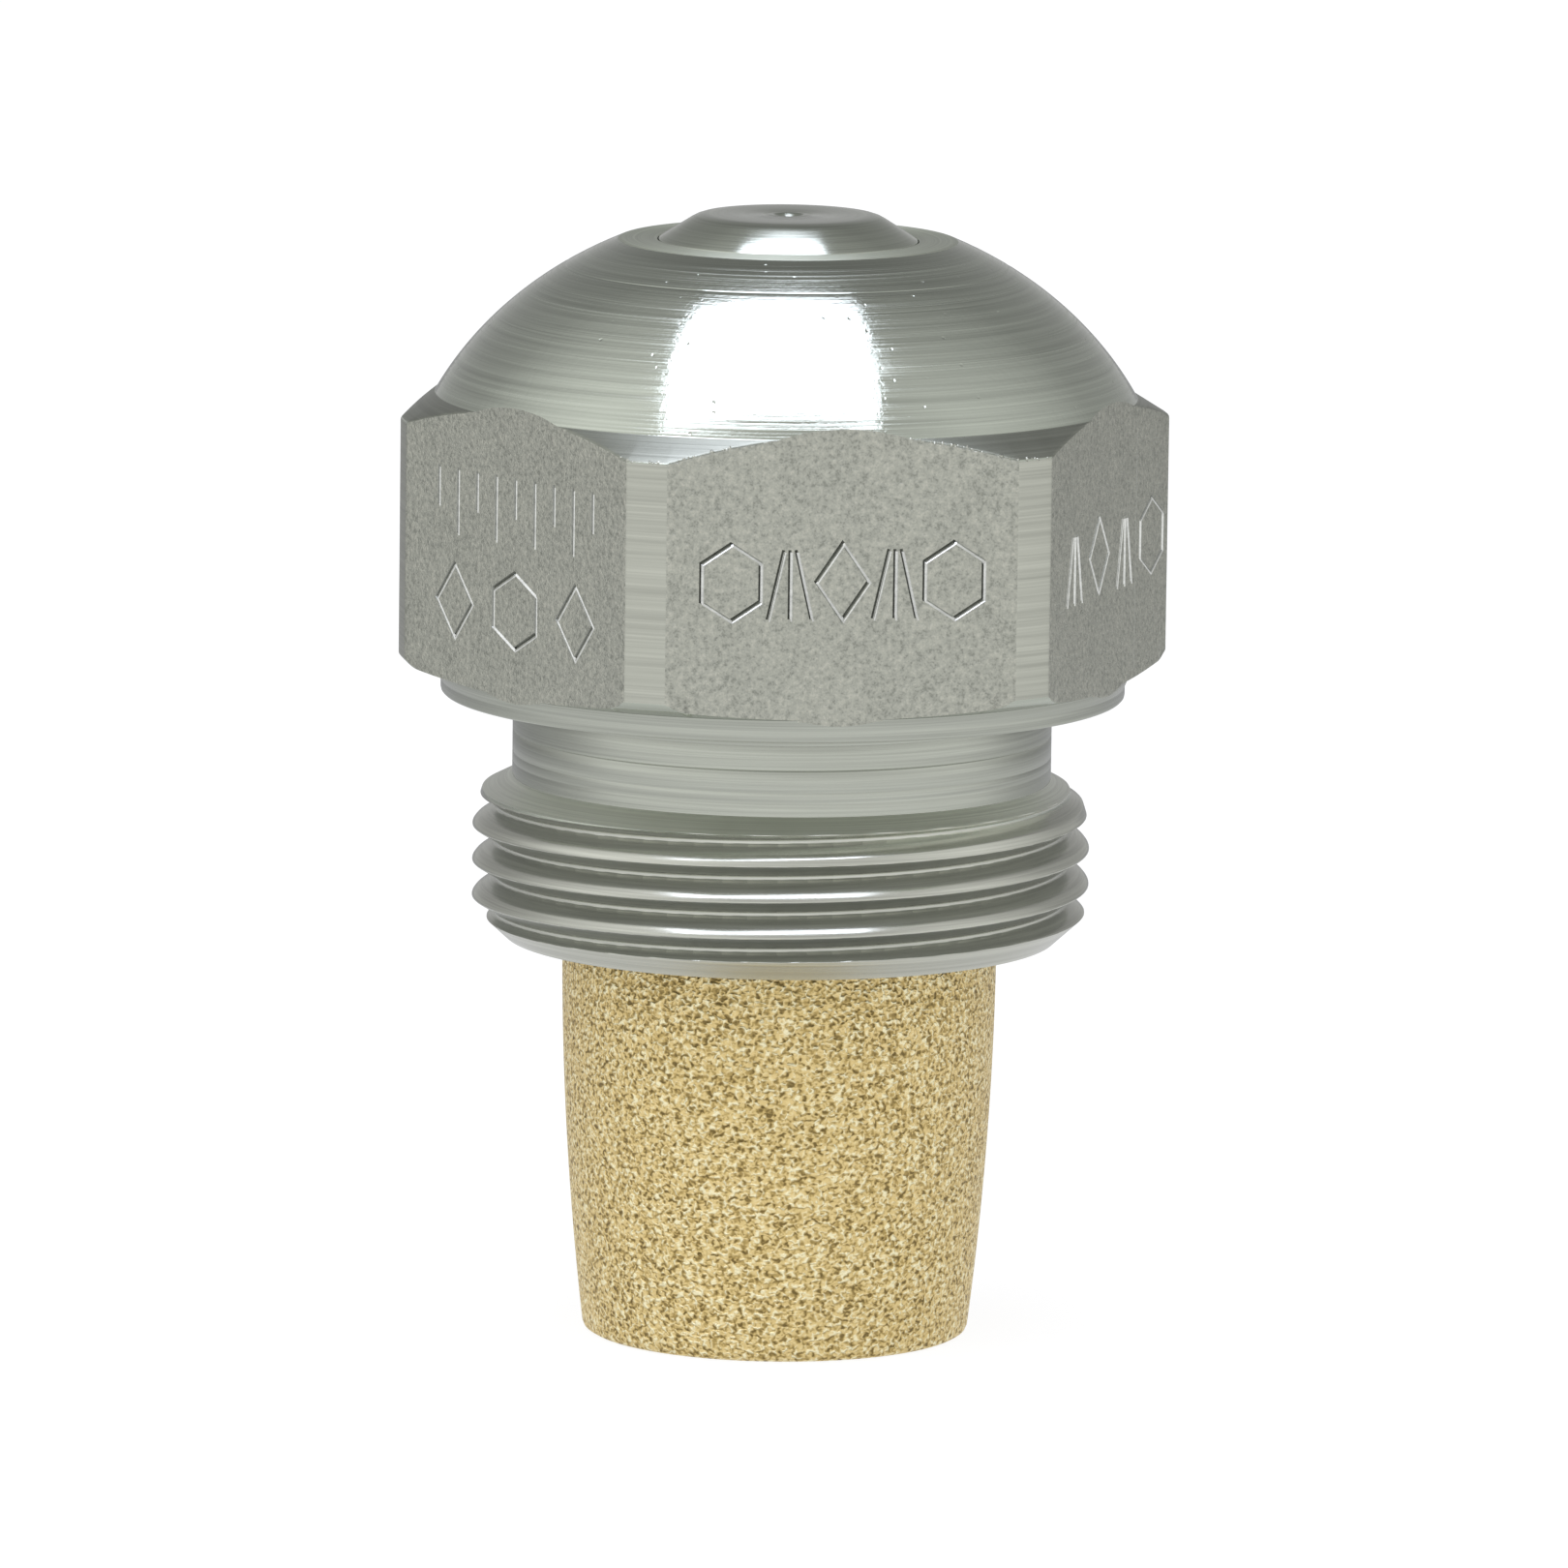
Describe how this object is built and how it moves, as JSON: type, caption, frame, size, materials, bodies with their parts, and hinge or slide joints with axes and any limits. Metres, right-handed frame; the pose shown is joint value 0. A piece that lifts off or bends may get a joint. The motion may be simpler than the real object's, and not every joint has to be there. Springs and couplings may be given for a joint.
{
  "type": "oil burner nozzle",
  "caption": "Domed hex-bodied pressure-swirl nozzle that sprays heating oil in a cone, with an external thread and a porous sintered bronze cup filter behind it.",
  "frame": {"origin": "centre of the sintered filter's closed end, which the part stands on", "axes": "+Z along the nozzle's axis towards the spray orifice, -Y out of one hex flat"},
  "size_m": [0.0178, 0.0158, 0.026],
  "materials": {
    "body_steel": "turned stainless steel, matt blasted flats",
    "disc_steel": "fine turned stainless steel",
    "distributor_brass": "turned brass",
    "screw_brass": "turned brass",
    "filter_bronze": "sintered bronze, matt and porous"
  },
  "bodies": {
    "filter": {"sintered_filter": "filter_bronze"},
    "screw": {"lock_screw": "screw_brass", "swirl_distributor": "distributor_brass"},
    "disc": {"orifice_disc": "disc_steel"},
    "housing": {"nozzle_body": "body_steel"}
  },
  "joints": [
    {"name": "filter_pull", "type": "slide", "parent": "filter", "child": "screw", "axis": [0, 0, 1], "range_m": [0, 0.005]},
    {"name": "disc_lift", "type": "slide", "parent": "screw", "child": "disc", "axis": [0, 0, 1], "range_m": [0, 0.0045]},
    {"name": "body_unscrew", "type": "hinge", "parent": "disc", "child": "housing", "pos_m": [0, 0, 0.0155], "axis": [0, 0, 1], "range_deg": [0, 2160]}
  ],
  "couplings": [
    {"joint": "disc_lift", "follows": "body_unscrew", "m_per_rad": 0.00011936}
  ]
}
